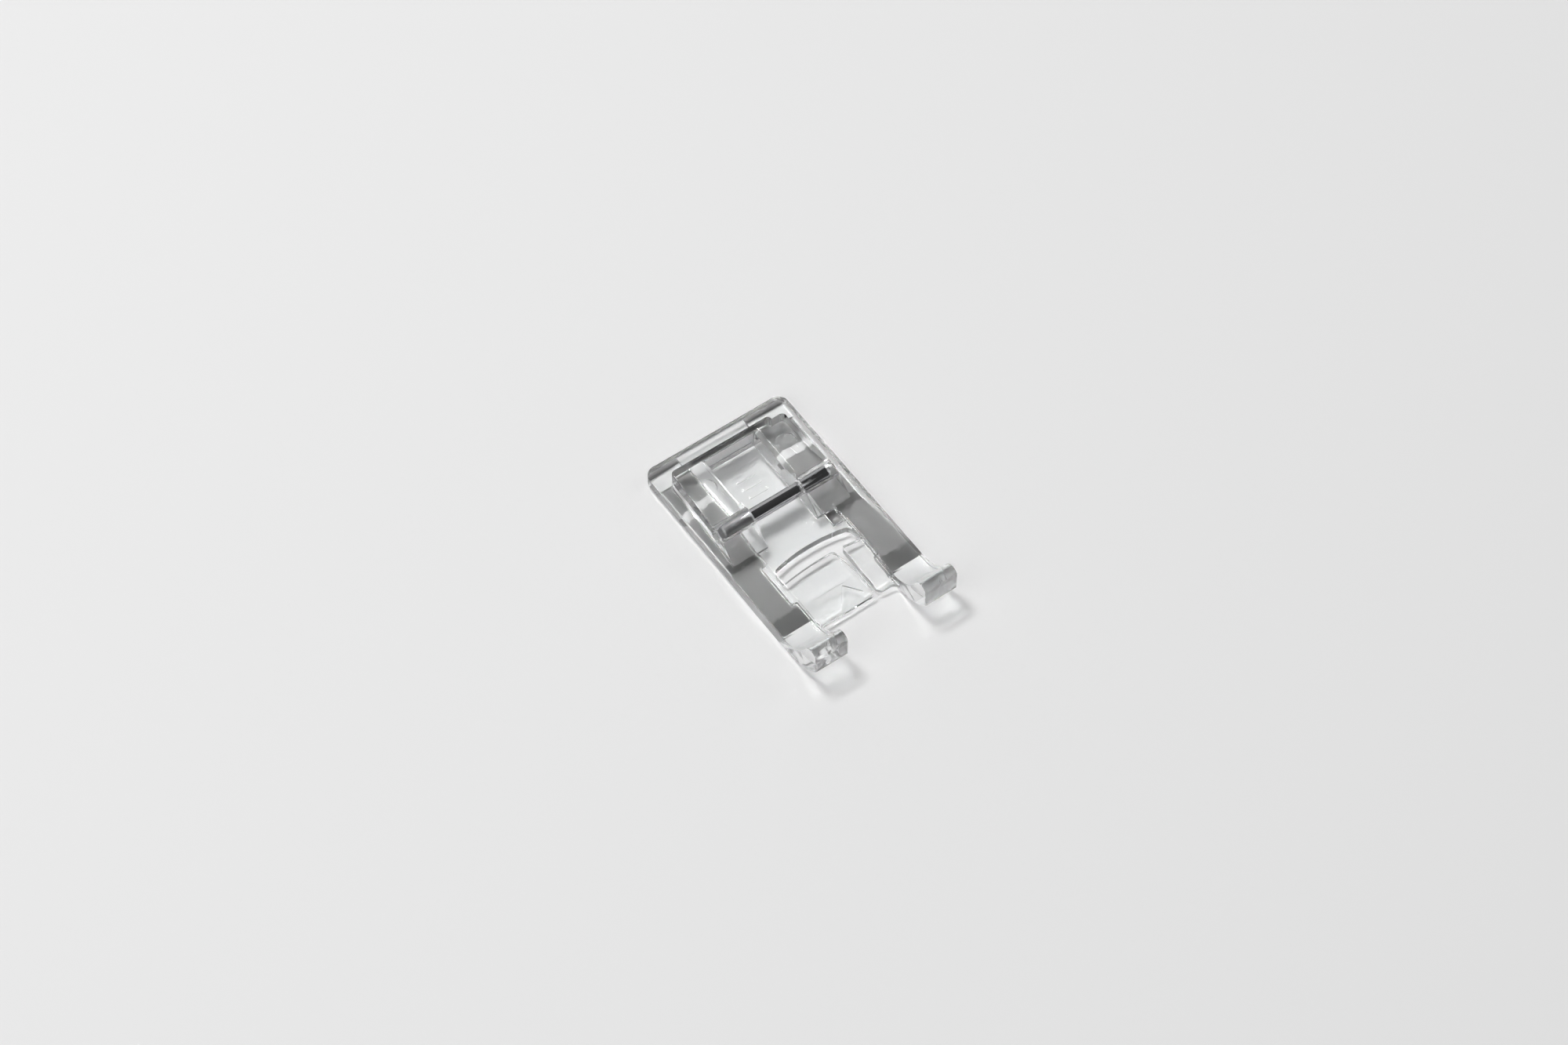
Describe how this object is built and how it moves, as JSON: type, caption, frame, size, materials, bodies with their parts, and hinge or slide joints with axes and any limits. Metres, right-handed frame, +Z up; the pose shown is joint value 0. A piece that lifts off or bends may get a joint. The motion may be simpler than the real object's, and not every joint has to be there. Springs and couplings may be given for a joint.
{
  "type": "sewing machine presser foot",
  "caption": "Clear clip-on presser foot with upturned toes, a wide needle slot, a narrow thread slit and a steel snap pin.",
  "frame": {"origin": "middle of the foot's outer box, at the height of the bed that the runners rest on", "axes": "+X to the right as seen from the toes' end looking at the heel, +Y towards the heel, +Z up"},
  "size_m": [0.02, 0.035, 0.0062],
  "materials": {
    "clear_plastic": "clear polished acrylic",
    "pin_steel": "bright drawn steel"
  },
  "bodies": {
    "root": {"foot_body": "clear_plastic", "snap_pin": "pin_steel"}
  },
  "joints": []
}
